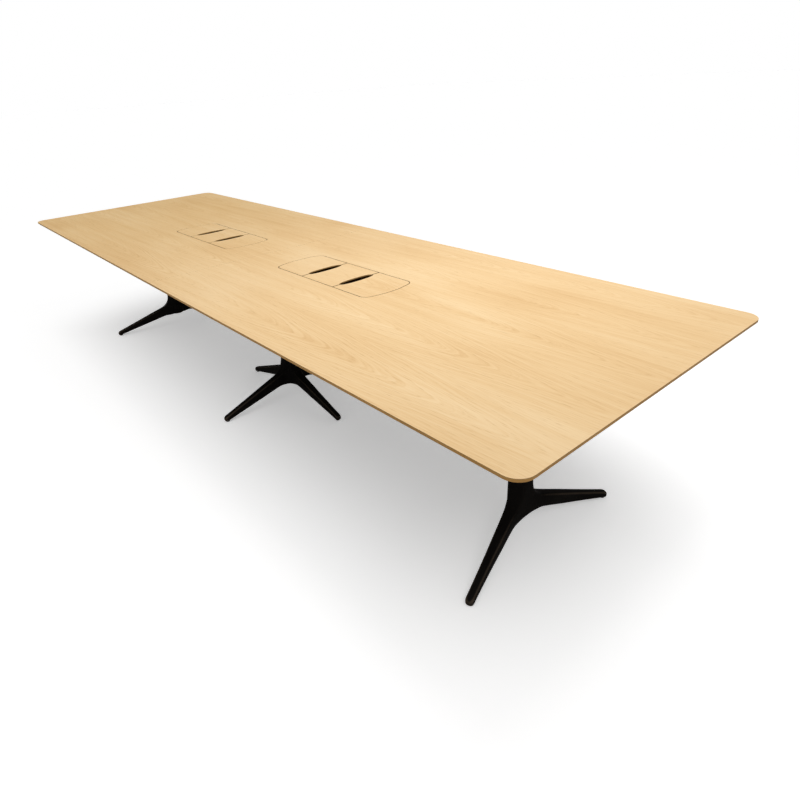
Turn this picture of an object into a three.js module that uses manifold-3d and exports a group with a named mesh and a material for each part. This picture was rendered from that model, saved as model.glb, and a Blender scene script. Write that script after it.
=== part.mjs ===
import * as THREE from 'three';
import { mergeVertices } from 'three/addons/utils/BufferGeometryUtils.js';
import Module from 'manifold-3d';

// Conference table in millimetres: X along the table, Y across it, Z up from the floor,
// with the origin on the floor under the middle of the top.
const wasm = await Module();
wasm.setup();

// Table top: two veneered boards that meet at the middle, each with a lipping round its rim.
const tableLength = 3600;
const tableWidth = 1100;
const tableHeight = 710;
const topThickness = 25;
const topCornerRadius = 45;
const veneerThickness = 0.8;
const rimHeight = 9;
const lippingWidth = 30;
const seamGap = 0.4;
const glueGap = 0.2;

// Cable hatch in each board: a fixed bridge between two rocking lids, with bowed ends.
const hatchFromSeam = 505;
const hatchLength = 606;
const hatchWidth = 220;
const hatchEndRadius = 300;
const hatchCornerRadius = 30;
const hatchGap = 3;
const bridgeLength = 200;
const bridgeGap = 5;
const slotLength = 152;
const slotWidth = 37;
const slotFullness = 2.5;
const slotRim = 4.5;
const slotFlare = 15;

// Lid pivots: pins in the lid edges that turn in bushes let into the board.
const lidTail = 46;
const lidOpenAngle = THREE.MathUtils.degToRad(95);
const pivotDepth = 9;
const pinRadius = 3;
const pinInLid = 20;
const pinInBush = 11;
const pinFit = 0.15;
const pinRunFit = 0.05;
const bushRadius = 6;
const bushLength = 14;
const bushFit = 0.2;
const runClearance = 0.4;

// Steelwork under the hatch.
const seatGap = 0.3;
const stopRailSize = 20;
const stopRailWall = 2;
const stopRailLap = 24;
const ledgeWidth = 40;
const ledgeThickness = 5;
const ledgeUnderBridge = 12;
const ledgeUnderLid = 11;
const trayDepth = 72;
const trayWall = 2;
const trayFlange = 20;
const trayCornerRadius = 20;
const trayClearance = 5;
const outletLength = 160;
const outletWidth = 60;

// Rails that tie the boards and the bases, and the plates beside them at the seam.
const railWidth = 50;
const railHeight = 20;
const railWall = 2.5;
const railFromTray = 28;
const railInset = 310;
const seamPlateLength = 160;
const seamPlateWidth = 60;
const seamPlateThickness = 4;
const seamPlateFromEdge = 150;

// Bases: a die-cast foot, a column and a head plate under the rails.
const endBaseInset = 406;
const endLegAngle = THREE.MathUtils.degToRad(73);
const trunkRadius = 38;
const trunkHeight = 280;
const spigotHeight = 40;
const columnWall = 3;
const columnFit = 0.3;
const headPlateThickness = 6;
const headPlateLength = 150;
const headPlateEndLength = 90;
const headPlateOverhang = 12;
const headPlateHole = 9;

// Cast legs: a flat upper face that sweeps up into the trunk, tapering to a blunt tip.
const legReach = 380;
const legTipTop = 23.5;
const legTipFloor = 3;
const legSlope = THREE.MathUtils.degToRad(20);
const legSweepRadius = 72;
const legRootWidth = 49;
const legTipWidth = 28;
const legEdgeRadius = 6;
const legUnderEdge = 2.5;
const legTipRound = 12;
const legTipDrop = 0.5;
const legTipLift = 0.3;
const undersideSlope = THREE.MathUtils.degToRad(14.2);
const legRootFloor = 78;
const legRootReach = 76;

// Hub: hollow webs between the legs that fade out as they rise up the trunk.
const hubFloor = 82;
const middleWebReach = 58;
const endWebReach = 42;
const hubBlend = 6;
const hubUnderLegTop = 1.5;

// Glides let into the underside of the leg tips.
const glideRadius = 9;
const glideHeight = 8;
const glideFromTip = 15;
const glideEdge = 2;
const glideStemRadius = 4;
const glideStemLength = 10;
const glideFit = 0.2;

// Facet counts, and where the sections of a leg are taken.
const cornerFacets = 6;
const edgeFacets = 3;
const slotFacets = 20;
const roundFacets = 12;
const columnFacets = 24;
const hubFacets = 32;
const hubLevels = 6;
const sweepSections = 6;
const sweepCrowding = 1.5;
const slopeSections = [0.3, 0.65];
const tipSections = [1, 0.5, 0.2, 0.05, 0];

// Levels and places that follow from the sizes above.
const underside = tableHeight - topThickness;
const seat = underside - seatGap;
const pivotHeight = tableHeight - pivotDepth;
const hatchHalfLength = hatchLength / 2;
const hatchHalfWidth = hatchWidth / 2;
const openingHalfWidth = hatchHalfWidth + hatchGap / 2;
const lidHalfWidth = hatchHalfWidth - hatchGap / 2;
const pivotX = hatchHalfLength - hatchGap / 2 - lidTail;
const lidUnderPivot = topThickness - pivotDepth;
const stopRailDrop = lidUnderPivot + seatGap + stopRailSize;
const stopRailFace = (lidUnderPivot + runClearance - stopRailDrop * Math.cos(lidOpenAngle))
  / Math.sin(lidOpenAngle);
const ledgeInner = lidHalfWidth - ledgeUnderBridge;
const stopRailHalf = openingHalfWidth + stopRailLap;
const trayHalfWidth = Math.max(stopRailHalf, ledgeInner + ledgeWidth) + trayClearance;
const trayHalfLength = hatchHalfLength + hatchGap / 2 + trayClearance + trayWall;
const railY = trayHalfWidth + trayWall + trayFlange + railFromTray + railWidth / 2;
const railBottom = seat - railHeight;
const headPlateTop = railBottom - seatGap;
const columnTop = headPlateTop - headPlateThickness - seatGap;
const endBaseX = tableLength / 2 - endBaseInset;

function paint(color, roughness, metalness) {
  return new THREE.MeshStandardMaterial({ color, roughness, metalness });
}

const oakVeneer = paint(0xf0d2a2, 0.42, 0);
const oakLipping = paint(0x96764a, 0.5, 0);
const blackCast = paint(0x141413, 0.45, 0.2);
const blackSteel = paint(0x1b1b1b, 0.55, 0.4);
const bareSteel = paint(0xa9abad, 0.35, 0.9);
const bushPlastic = paint(0xd8d5cc, 0.5, 0);
const glidePlastic = paint(0x202020, 0.6, 0);

const table = new THREE.Group();

function addPiece(parent, name, geometry, material) {
  const mesh = new THREE.Mesh(geometry, material);
  mesh.name = name;
  parent.add(mesh);
}

// The side of the table that a +Y or -Y side faces, inside groups that may each be turned half round.
function placeOf(side, ...groups) {
  const facing = groups.reduce((sign, group) => sign * Math.cos(group.rotation.z), side);
  return facing > 0 ? 'rear' : 'front';
}

// A solid for joining and cutting, from a closed geometry.
function solidOf(geometry) {
  const bare = geometry.clone();
  bare.deleteAttribute('normal');
  bare.deleteAttribute('uv');
  const merged = mergeVertices(bare, 1e-4);
  return new wasm.Manifold(new wasm.Mesh({
    numProp: 3,
    vertProperties: new Float32Array(merged.attributes.position.array),
    triVerts: new Uint32Array(merged.index.array),
  }));
}

function geometryOf(solid) {
  const mesh = solid.getMesh();
  const geometry = new THREE.BufferGeometry();
  geometry.setAttribute('position', new THREE.BufferAttribute(mesh.vertProperties, 3));
  geometry.setIndex(new THREE.BufferAttribute(mesh.triVerts, 1));
  geometry.computeVertexNormals();
  return geometry;
}

function cutAway(geometry, cutters) {
  const cut = cutters.reduce((body, cutter) => body.subtract(solidOf(cutter)), solidOf(geometry));
  return geometryOf(cut);
}

function joinAll(geometries) {
  const [first, ...others] = geometries.map(solidOf);
  return geometryOf(others.reduce((body, part) => body.add(part), first));
}

// The radius of a faceted hole that stays clear of a round of the given radius.
function clearRadius(radius, facets) {
  return radius / Math.cos(Math.PI / facets);
}

function lathe(profile, facets) {
  const points = profile.map(([radius, along]) => new THREE.Vector2(radius, along));
  return new THREE.LatheGeometry(points, facets);
}

// A closed skin through rings of equal count, each running anticlockwise about the way it advances.
function loft(rings) {
  const count = rings[0].length;
  const points = rings.flat();
  const faces = [];
  for (let ring = 0; ring < rings.length - 1; ring += 1) {
    for (let side = 0; side < count; side += 1) {
      const next = (side + 1) % count;
      const low = ring * count;
      const high = low + count;
      faces.push(low + side, low + next, high + next, low + side, high + next, high + side);
    }
  }
  const lastRing = (rings.length - 1) * count;
  const startCentre = points.push(centreOf(rings[0])) - 1;
  const endCentre = points.push(centreOf(rings[rings.length - 1])) - 1;
  for (let side = 0; side < count; side += 1) {
    const next = (side + 1) % count;
    faces.push(startCentre, next, side, endCentre, lastRing + side, lastRing + next);
  }
  const geometry = new THREE.BufferGeometry().setFromPoints(points);
  geometry.setIndex(faces);
  geometry.computeVertexNormals();
  return geometry;
}

function centreOf(ring) {
  const sum = ring.reduce((total, point) => total.add(point), new THREE.Vector3());
  return sum.divideScalar(ring.length);
}

function extrudeUp(shape, bottom, top) {
  const geometry = new THREE.ExtrudeGeometry(shape, {
    depth: top - bottom,
    bevelEnabled: false,
    curveSegments: cornerFacets,
  });
  return geometry.translate(0, 0, bottom);
}

// A straight square or rectangular tube along Y, standing on its own lower face.
function hollowBar(width, height, wall, length) {
  const outer = rectangle(width / 2, height / 2);
  outer.holes.push(rectangle(width / 2 - wall, height / 2 - wall));
  const geometry = new THREE.ExtrudeGeometry(outer, { depth: length, bevelEnabled: false });
  return geometry.rotateX(Math.PI / 2).translate(0, length / 2, height / 2);
}

function rectangle(halfX, halfY) {
  const corners = [[-halfX, -halfY], [halfX, -halfY], [halfX, halfY], [-halfX, halfY]];
  return new THREE.Shape(corners.map(([x, y]) => new THREE.Vector2(x, y)));
}

function roundedRectangle(halfX, halfY, radius) {
  const shape = new THREE.Shape();
  shape.absarc(halfX - radius, -halfY + radius, radius, -Math.PI / 2, 0);
  shape.absarc(halfX - radius, halfY - radius, radius, 0, Math.PI / 2);
  shape.absarc(-halfX + radius, halfY - radius, radius, Math.PI / 2, Math.PI);
  shape.absarc(-halfX + radius, -halfY + radius, radius, Math.PI, Math.PI * 1.5);
  shape.closePath();
  return shape;
}

function cylinderAlongY(radius, from, to, x, z) {
  const geometry = new THREE.CylinderGeometry(radius, radius, Math.abs(to - from), roundFacets);
  return geometry.translate(x, (from + to) / 2, z);
}

// The rim of one board seen from above, from the seam round both corners, drawn in by an inset.
function rimPath(inset, height) {
  const radius = topCornerRadius - inset;
  const cornerX = tableLength / 2 - topCornerRadius;
  const cornerY = tableWidth / 2 - topCornerRadius;
  const path = [new THREE.Vector3(seamGap / 2, -tableWidth / 2 + inset, height)];
  for (const [side, from] of [[-1, -Math.PI / 2], [1, 0]]) {
    for (let step = 0; step <= cornerFacets; step += 1) {
      const angle = from + (step / cornerFacets) * Math.PI / 2;
      const x = cornerX + radius * Math.cos(angle);
      const y = side * cornerY + radius * Math.sin(angle);
      path.push(new THREE.Vector3(x, y, height));
    }
  }
  path.push(new THREE.Vector3(seamGap / 2, tableWidth / 2 - inset, height));
  return path;
}

function boardShape(inset) {
  return new THREE.Shape(rimPath(inset, 0).map((point) => new THREE.Vector2(point.x, point.y)));
}

// The bowed end of the hatch: a corner arc, the end arc and the other corner arc.
function drawHatchEnd(shape, inset, turn) {
  const bowX = hatchHalfLength - hatchEndRadius;
  const cornerY = hatchHalfWidth - hatchCornerRadius;
  const cornerX = bowX + Math.sqrt((hatchEndRadius - hatchCornerRadius) ** 2 - cornerY ** 2);
  const lean = Math.atan2(cornerY, cornerX - bowX);
  const side = Math.cos(turn);
  const radius = hatchCornerRadius - inset;
  shape.absarc(side * cornerX, -side * cornerY, radius, turn - Math.PI / 2, turn - lean);
  shape.absarc(side * bowX, 0, hatchEndRadius - inset, turn - lean, turn + lean);
  shape.absarc(side * cornerX, side * cornerY, radius, turn + lean, turn + Math.PI / 2);
}

function hatchOpening() {
  const shape = new THREE.Shape();
  drawHatchEnd(shape, -hatchGap / 2, 0);
  drawHatchEnd(shape, -hatchGap / 2, Math.PI);
  shape.closePath();
  return shape;
}

function lidShape() {
  const freeEdge = bridgeLength / 2 + bridgeGap / 2;
  const shape = new THREE.Shape();
  shape.moveTo(freeEdge, lidHalfWidth);
  shape.lineTo(freeEdge, -lidHalfWidth);
  drawHatchEnd(shape, hatchGap / 2, 0);
  shape.closePath();
  return shape;
}

// A boat-shaped outline along Y, fuller than an ellipse.
function boatRing(halfLength, halfWidth, x, height) {
  const swell = (share) => Math.sign(share) * Math.abs(share) ** (2 / slotFullness);
  const ring = [];
  for (let step = 0; step < slotFacets; step += 1) {
    const angle = (step / slotFacets) * 2 * Math.PI;
    const across = halfWidth * swell(Math.cos(angle));
    const along = halfLength * swell(Math.sin(angle));
    ring.push(new THREE.Vector3(x + across, along, height));
  }
  return ring;
}

// The cutter for a finger and cable slot: upright below the surface, then flaring out underneath.
function slotCutter() {
  const x = bridgeLength / 2;
  const halfLength = slotLength / 2;
  const halfWidth = slotWidth / 2;
  const below = underside - topThickness;
  const flare = slotFlare * (tableHeight - slotRim - below) / (topThickness - slotRim);
  return loft([
    boatRing(halfLength + flare, halfWidth + flare, x, below),
    boatRing(halfLength, halfWidth, x, tableHeight - slotRim),
    boatRing(halfLength, halfWidth, x, tableHeight + topThickness),
  ]);
}

function pivotBores(radius, from, to) {
  return [-1, 1].map((side) => cylinderAlongY(radius, side * from, side * to, pivotX, pivotHeight));
}

function halfTurn(geometry) {
  return geometry.rotateZ(Math.PI);
}

function boardGeometry() {
  const core = extrudeUp(boardShape(lippingWidth + glueGap), underside, tableHeight - veneerThickness / 2);
  const veneer = extrudeUp(boardShape(0), tableHeight - veneerThickness, tableHeight);
  const boreDepth = openingHalfWidth + bushLength + bushFit;
  const bores = () => pivotBores(bushRadius + bushFit, hatchHalfWidth, boreDepth);
  const opening = extrudeUp(hatchOpening(), underside - topThickness, tableHeight + topThickness);
  const cutters = [opening, ...bores(), ...bores().map(halfTurn)];
  cutters.forEach((cutter) => cutter.translate(hatchFromSeam, 0, 0));
  return cutAway(joinAll([core, veneer]), cutters);
}

function lippingGeometry() {
  const upper = tableHeight - veneerThickness - glueGap;
  const sides = [
    rimPath(0, tableHeight - rimHeight),
    rimPath(lippingWidth, underside),
    rimPath(lippingWidth, upper),
    rimPath(0, upper),
  ];
  return loft(sides[0].map((_, station) => sides.map((side) => side[station])));
}

function lidGeometry() {
  const lid = extrudeUp(lidShape(), underside, tableHeight);
  const pinSeat = lidHalfWidth - pinInLid - pinFit;
  return cutAway(lid, [slotCutter(), ...pivotBores(pinRadius + pinFit, pinSeat, openingHalfWidth)]);
}

function bridgeGeometry() {
  const halfLength = bridgeLength / 2 - bridgeGap / 2;
  const bridge = extrudeUp(rectangle(halfLength, lidHalfWidth), underside, tableHeight);
  return cutAway(bridge, [slotCutter(), halfTurn(slotCutter())]);
}

function bushGeometry(side) {
  const bore = clearRadius(pinRadius + pinRunFit, roundFacets);
  const profile = [[bushRadius, 0], [bushRadius, bushLength], [bore, bushLength], [bore, 0]];
  profile.push(profile[0]);
  const bush = lathe(profile, roundFacets).translate(0, openingHalfWidth, 0);
  return (side > 0 ? bush : halfTurn(bush)).translate(pivotX, 0, pivotHeight);
}

function trayGeometry() {
  const floor = seat - trayDepth;
  const wallRadius = trayCornerRadius + trayWall;
  const outerX = trayHalfLength + trayWall;
  const outerY = trayHalfWidth + trayWall;
  const pan = extrudeUp(roundedRectangle(outerX, outerY, wallRadius), floor, seat);
  const flange = roundedRectangle(outerX + trayFlange, outerY + trayFlange, wallRadius + trayFlange);
  const inside = roundedRectangle(trayHalfLength, trayHalfWidth, trayCornerRadius);
  const outlet = roundedRectangle(outletLength / 2, outletWidth / 2, outletWidth / 2 - trayWall);
  return cutAway(joinAll([pan, extrudeUp(flange, seat - trayWall, seat)]), [
    extrudeUp(inside, floor + trayWall, seat + trayDepth),
    extrudeUp(outlet, floor - trayWall, floor + trayDepth / 2),
  ]);
}

function ledgeGeometry(side) {
  const halfLength = bridgeLength / 2 + bridgeGap / 2 + ledgeUnderLid;
  const bar = extrudeUp(rectangle(halfLength, ledgeWidth / 2), seat - ledgeThickness, seat);
  return bar.translate(0, side * (ledgeInner + ledgeWidth / 2), 0);
}

// One lid with its pins, bushes and stop rail, at the end of the hatch that the turn points to.
function addLid(hatch, label, turn) {
  const end = new THREE.Group();
  end.rotation.z = turn;
  hatch.add(end);
  addPiece(end, `lid_${label}`, lidGeometry(), oakVeneer);
  for (const side of [-1, 1]) {
    const place = placeOf(side, end, hatch.parent);
    const inner = side * (lidHalfWidth - pinInLid);
    const outer = side * (openingHalfWidth + pinInBush);
    const pin = cylinderAlongY(pinRadius, inner, outer, pivotX, pivotHeight);
    addPiece(end, `pivot_pin_${label}_${place}`, pin, bareSteel);
    addPiece(end, `pivot_bush_${label}_${place}`, bushGeometry(side), bushPlastic);
  }
  const stopRail = hollowBar(stopRailSize, stopRailSize, stopRailWall, 2 * stopRailHalf);
  stopRail.translate(pivotX - stopRailFace - stopRailSize / 2, 0, seat - stopRailSize);
  addPiece(end, `stop_rail_${label}`, stopRail, blackSteel);
}

function addHatch(half, label) {
  const hatch = new THREE.Group();
  hatch.position.x = hatchFromSeam;
  half.add(hatch);
  addPiece(hatch, `bridge_panel_${label}`, bridgeGeometry(), oakVeneer);
  addPiece(hatch, `cable_tray_${label}`, trayGeometry(), blackSteel);
  for (const side of [1, -1]) {
    addPiece(hatch, `ledge_${label}_${placeOf(side, half)}`, ledgeGeometry(side), blackSteel);
  }
  addLid(hatch, `${label}_outer`, 0);
  addLid(hatch, `${label}_inner`, Math.PI);
}

function addBoard(label, turn) {
  const half = new THREE.Group();
  half.rotation.z = turn;
  table.add(half);
  addPiece(half, `top_board_${label}`, boardGeometry(), oakVeneer);
  addPiece(half, `edge_lipping_${label}`, lippingGeometry(), oakLipping);
  addHatch(half, label);
}

function addRails() {
  const length = tableLength - 2 * railInset;
  for (const [side, place] of [[1, 'rear'], [-1, 'front']]) {
    const rail = hollowBar(railWidth, railHeight, railWall, length).rotateZ(Math.PI / 2);
    addPiece(table, `rail_${place}`, rail.translate(0, side * railY, railBottom), blackSteel);
    const plateY = side * (tableWidth / 2 - seamPlateFromEdge);
    const plateShape = rectangle(seamPlateLength / 2, seamPlateWidth / 2);
    const plate = extrudeUp(plateShape, seat - seamPlateThickness, seat);
    addPiece(table, `seam_plate_${place}`, plate.translate(0, plateY, 0), blackSteel);
  }
}

// Upper face of a leg at a distance from the trunk axis: a straight slope that sweeps up the trunk.
const sweepCentreX = trunkRadius + legSweepRadius;
const sweepCentreZ = slopeHeight(sweepCentreX) + legSweepRadius / Math.cos(legSlope);
const slopeStart = sweepCentreX - legSweepRadius * Math.sin(legSlope);
const tipStart = legReach - legTipRound;

function slopeHeight(reach) {
  return legTipTop + (legReach - reach) * Math.tan(legSlope);
}

function legUpper(reach) {
  if (reach >= slopeStart) {
    return slopeHeight(reach);
  }
  const along = Math.min(legSweepRadius, sweepCentreX - reach);
  return sweepCentreZ - Math.sqrt(legSweepRadius ** 2 - along ** 2);
}

function legLower(reach) {
  const slope = legRootFloor - Math.max(0, reach - legRootReach) * Math.tan(undersideSlope);
  return Math.max(slope, legTipFloor);
}

function legHalfWidth(reach) {
  const share = Math.max(0, tipStart - reach) / (tipStart - trunkRadius);
  return (legTipWidth + (legRootWidth - legTipWidth) * share ** 2) / 2;
}

// One section of a leg along +X: square below, with rounded upper edges, drawn in at the tip.
function legRing(reach) {
  const fromEnd = Math.min(legTipRound, legReach - reach);
  const drawnIn = legTipRound - Math.sqrt(legTipRound ** 2 - (legTipRound - fromEnd) ** 2);
  const half = legHalfWidth(reach) - drawnIn;
  const upper = legUpper(reach) - drawnIn * legTipDrop;
  const lower = legLower(reach) + drawnIn * legTipLift;
  const edge = Math.min(legEdgeRadius, half / 2);
  const under = Math.min(legUnderEdge, half / 2);
  const ring = [
    [-half + under, lower],
    [half - under, lower],
    [half, lower + under],
  ];
  for (const [side, from] of [[1, 0], [-1, Math.PI / 2]]) {
    for (let step = 0; step <= edgeFacets; step += 1) {
      const angle = from + (step / edgeFacets) * Math.PI / 2;
      ring.push([side * (half - edge) + edge * Math.cos(angle), upper - edge + edge * Math.sin(angle)]);
    }
  }
  ring.push([-half, lower + under]);
  return ring.map(([y, z]) => new THREE.Vector3(reach, y, z));
}

function legGeometry() {
  const reaches = [trunkRadius - legEdgeRadius];
  for (let step = 1; step <= sweepSections; step += 1) {
    reaches.push(trunkRadius + (slopeStart - trunkRadius) * (step / sweepSections) ** sweepCrowding);
  }
  reaches.push(...slopeSections.map((share) => THREE.MathUtils.lerp(slopeStart, tipStart, share)));
  reaches.push(...tipSections.map((drawn) => legReach - drawn * legTipRound));
  return loft(reaches.map(legRing));
}

// How far out the upper face of a leg stands at one level, as far as the end of its sweep.
function legReachAt(height) {
  const drop = Math.max(0, sweepCentreZ - height);
  if (drop < legSweepRadius * Math.cos(legSlope)) {
    return sweepCentreX - Math.sqrt(legSweepRadius ** 2 - drop ** 2);
  }
  return Math.min(sweepCentreX, legReach - (height - legTipTop) / Math.tan(legSlope));
}

// How far the hub reaches in one direction at one level: lobes that run into the legs, joined
// by hollow webs that shrink as they rise, all blended with the round trunk.
function hubReach(angle, height, legAngles, webReach) {
  if (height >= trunkHeight) {
    return trunkRadius;
  }
  const rise = Math.min(1, (height - hubFloor) / (sweepCentreZ - hubFloor));
  const lobe = legReachAt(height) - hubUnderLegTop;
  const half = legTipWidth / 2;
  const turns = legAngles.map((leg) => THREE.MathUtils.euclideanModulo(angle - leg, 2 * Math.PI));
  const behind = Math.min(...turns);
  const ahead = 2 * Math.PI - Math.max(...turns);
  const off = Math.min(ahead, behind);
  const flank = half / Math.max(half / lobe, Math.sin(off));
  const waist = THREE.MathUtils.lerp(webReach, trunkRadius, rise);
  const web = webOutline((ahead + behind) / 2, (ahead - behind) / 2, half, waist);
  const lobed = off < Math.PI / 2 ? Math.min(lobe / Math.cos(off), Math.max(flank, web)) : 0;
  const blend = Math.max(0, hubBlend - Math.abs(trunkRadius - lobed)) ** 2 / (4 * hubBlend);
  return Math.max(trunkRadius, lobed) + blend * (1 - rise);
}

// An arc that touches both legs and comes within the waist of the trunk axis half way between them.
function webOutline(halfGap, off, half, waist) {
  if (halfGap >= Math.PI / 2) {
    return 0;
  }
  const radius = (waist * Math.sin(halfGap) - half) / (1 - Math.sin(halfGap));
  const centre = waist + radius;
  const inside = radius ** 2 - (centre * Math.sin(off)) ** 2;
  return inside > 0 ? centre * Math.cos(off) - Math.sqrt(inside) : 0;
}

function hubGeometry(legAngles, webReach) {
  const heights = [];
  for (let level = 0; level <= hubLevels; level += 1) {
    heights.push(THREE.MathUtils.lerp(hubFloor, sweepCentreZ, level / hubLevels));
  }
  heights.push(trunkHeight);
  const rings = heights.map((height) => {
    const ring = [];
    for (let facet = 0; facet < hubFacets; facet += 1) {
      const angle = (facet / hubFacets) * 2 * Math.PI;
      const reach = hubReach(angle, height, legAngles, webReach);
      ring.push(new THREE.Vector3(reach * Math.cos(angle), reach * Math.sin(angle), height));
    }
    return ring;
  });
  return loft(rings);
}

function uprightCylinder(radius, bottom, top, facets) {
  const geometry = new THREE.CylinderGeometry(radius, radius, top - bottom, facets);
  return geometry.rotateX(Math.PI / 2).translate(0, 0, (bottom + top) / 2);
}

function castingGeometry(legAngles, webReach) {
  const spigotRadius = trunkRadius - columnWall - columnFit;
  const spigotBottom = trunkHeight - spigotHeight;
  const spigotTop = trunkHeight + spigotHeight;
  const spigot = uprightCylinder(spigotRadius, spigotBottom, spigotTop, columnFacets);
  const legs = legAngles.map((angle) => legGeometry().rotateZ(angle));
  const pocketTop = glideHeight + glueGap;
  const pocket = uprightCylinder(glideRadius + glideFit, 0, pocketTop, roundFacets);
  const boreTop = pocketTop + glideStemLength;
  const bore = uprightCylinder(glideStemRadius + glideFit, 0, boreTop, roundFacets);
  const seats = legAngles.map((angle) => (
    joinAll([pocket, bore]).translate(legReach - glideFromTip, 0, 0).rotateZ(angle)
  ));
  return cutAway(joinAll([hubGeometry(legAngles, webReach), spigot, ...legs]), seats);
}

function columnGeometry() {
  const bottom = trunkHeight + seatGap;
  const inner = trunkRadius - columnWall;
  const profile = [[trunkRadius, bottom], [trunkRadius, columnTop], [inner, columnTop], [inner, bottom]];
  profile.push(profile[0]);
  return lathe(profile, columnFacets).rotateX(Math.PI / 2);
}

// A plate that is widest over the column and narrows to the two rails, with screw holes under them.
function headPlateGeometry() {
  const reach = railY + railWidth / 2 + headPlateOverhang;
  const mid = headPlateLength / 2;
  const end = headPlateEndLength / 2;
  const corners = [[-end, -reach], [end, -reach], [mid, -trunkRadius], [mid, trunkRadius]];
  corners.push([end, reach], [-end, reach], [-mid, trunkRadius], [-mid, -trunkRadius]);
  const plate = new THREE.Shape(corners.map(([x, y]) => new THREE.Vector2(x, y)));
  for (const x of [-end / 2, end / 2]) {
    for (const y of [-railY, railY]) {
      plate.holes.push(new THREE.Path().absarc(x, y, headPlateHole / 2, 0, 2 * Math.PI, true));
    }
  }
  return extrudeUp(plate, headPlateTop - headPlateThickness, headPlateTop);
}

function glideGeometry() {
  const stemTop = glideHeight + glideStemLength;
  const profile = [[0, 0], [glideRadius - glideEdge, 0], [glideRadius, glideEdge]];
  profile.push([glideRadius, glideHeight], [glideStemRadius, glideHeight]);
  profile.push([glideStemRadius, stemTop], [0, stemTop]);
  return lathe(profile, roundFacets).rotateX(Math.PI / 2);
}

// One base, with a glide named for the side of the table that its leg points to.
function addBase(label, x, webReach, legs) {
  const base = new THREE.Group();
  base.position.x = x;
  table.add(base);
  const casting = castingGeometry(legs.map((leg) => leg.angle), webReach);
  addPiece(base, `base_casting_${label}`, casting, blackCast);
  addPiece(base, `column_${label}`, columnGeometry(), blackCast);
  addPiece(base, `head_plate_${label}`, headPlateGeometry(), blackSteel);
  for (const leg of legs) {
    const glide = glideGeometry().translate(legReach - glideFromTip, 0, 0).rotateZ(leg.angle);
    addPiece(base, `glide_${label}_${leg.place}`, glide, glidePlastic);
  }
}

addBoard('right', 0);
addBoard('left', Math.PI);
addRails();
addBase('right', endBaseX, endWebReach, [
  { place: 'rear', angle: endLegAngle },
  { place: 'front', angle: -endLegAngle },
]);
addBase('left', -endBaseX, endWebReach, [
  { place: 'rear', angle: Math.PI - endLegAngle },
  { place: 'front', angle: Math.PI + endLegAngle },
]);
addBase('middle', 0, middleWebReach, ['right', 'rear', 'left', 'front'].map((place, quarter) => (
  { place, angle: quarter * Math.PI / 2 }
)));

export default table;
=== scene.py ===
import math

import bmesh
import bpy
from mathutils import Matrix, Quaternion, Vector


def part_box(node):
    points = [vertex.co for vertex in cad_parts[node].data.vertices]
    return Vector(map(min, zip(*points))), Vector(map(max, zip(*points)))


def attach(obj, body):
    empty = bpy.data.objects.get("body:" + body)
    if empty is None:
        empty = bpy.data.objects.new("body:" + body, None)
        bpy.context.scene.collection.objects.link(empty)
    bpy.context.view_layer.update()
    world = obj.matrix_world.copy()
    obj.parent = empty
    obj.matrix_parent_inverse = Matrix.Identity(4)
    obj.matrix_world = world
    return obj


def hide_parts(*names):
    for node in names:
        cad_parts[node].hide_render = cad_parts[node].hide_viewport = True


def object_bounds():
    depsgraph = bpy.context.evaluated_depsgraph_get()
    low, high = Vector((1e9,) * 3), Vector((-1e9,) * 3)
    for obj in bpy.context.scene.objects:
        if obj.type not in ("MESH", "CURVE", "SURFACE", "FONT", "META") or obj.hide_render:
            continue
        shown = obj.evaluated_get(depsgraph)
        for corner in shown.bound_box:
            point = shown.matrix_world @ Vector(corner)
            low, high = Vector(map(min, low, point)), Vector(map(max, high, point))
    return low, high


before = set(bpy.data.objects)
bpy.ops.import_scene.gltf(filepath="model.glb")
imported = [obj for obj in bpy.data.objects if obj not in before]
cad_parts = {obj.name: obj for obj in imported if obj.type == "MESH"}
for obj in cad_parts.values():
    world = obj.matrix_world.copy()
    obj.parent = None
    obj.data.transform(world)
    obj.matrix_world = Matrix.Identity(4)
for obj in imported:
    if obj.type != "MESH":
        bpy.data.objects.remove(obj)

# Conference table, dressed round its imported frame: X along the table, Y across it, Z up, in metres.
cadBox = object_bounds()
mm = 0.001


# small helpers

def linear(hexColour):
    channels = [int(hexColour[i:i + 2], 16) / 255 for i in (1, 3, 5)]
    return [c / 12.92 if c <= 0.04045 else ((c + 0.055) / 1.055) ** 2.4 for c in channels] + [1.0]


# sets a node's inputs: a node or a socket is linked, anything else is a constant
def feed(tree, node, inputs):
    for key, value in inputs.items():
        source = value.outputs[0] if isinstance(value, bpy.types.Node) else value
        if isinstance(source, bpy.types.NodeSocket):
            tree.links.new(source, node.inputs[key])
        else:
            node.inputs[key].default_value = source


def addNode(tree, kind, inputs=None, stops=(), **settings):
    node = tree.nodes.new(kind)
    for key, value in settings.items():
        setattr(node, key, value)
    for i, (place, colour) in enumerate(stops):  # a colour ramp, from its low end up
        element = node.color_ramp.elements[i] if i < 2 else node.color_ramp.elements.new(place)
        element.position, element.color = place, linear(colour)
    feed(tree, node, inputs or {})
    return node


def newMaterial(name):
    material = bpy.data.materials.new(name)
    material.use_nodes = True
    return material, material.node_tree, material.node_tree.nodes["Principled BSDF"]


def pieceFrom(name, bm, materials, pick=None, smoothAngle=35):
    mesh = bpy.data.meshes.new(name)
    bm.to_mesh(mesh)
    bm.free()
    return pieceOf(name, mesh, materials, pick, smoothAngle)


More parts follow.
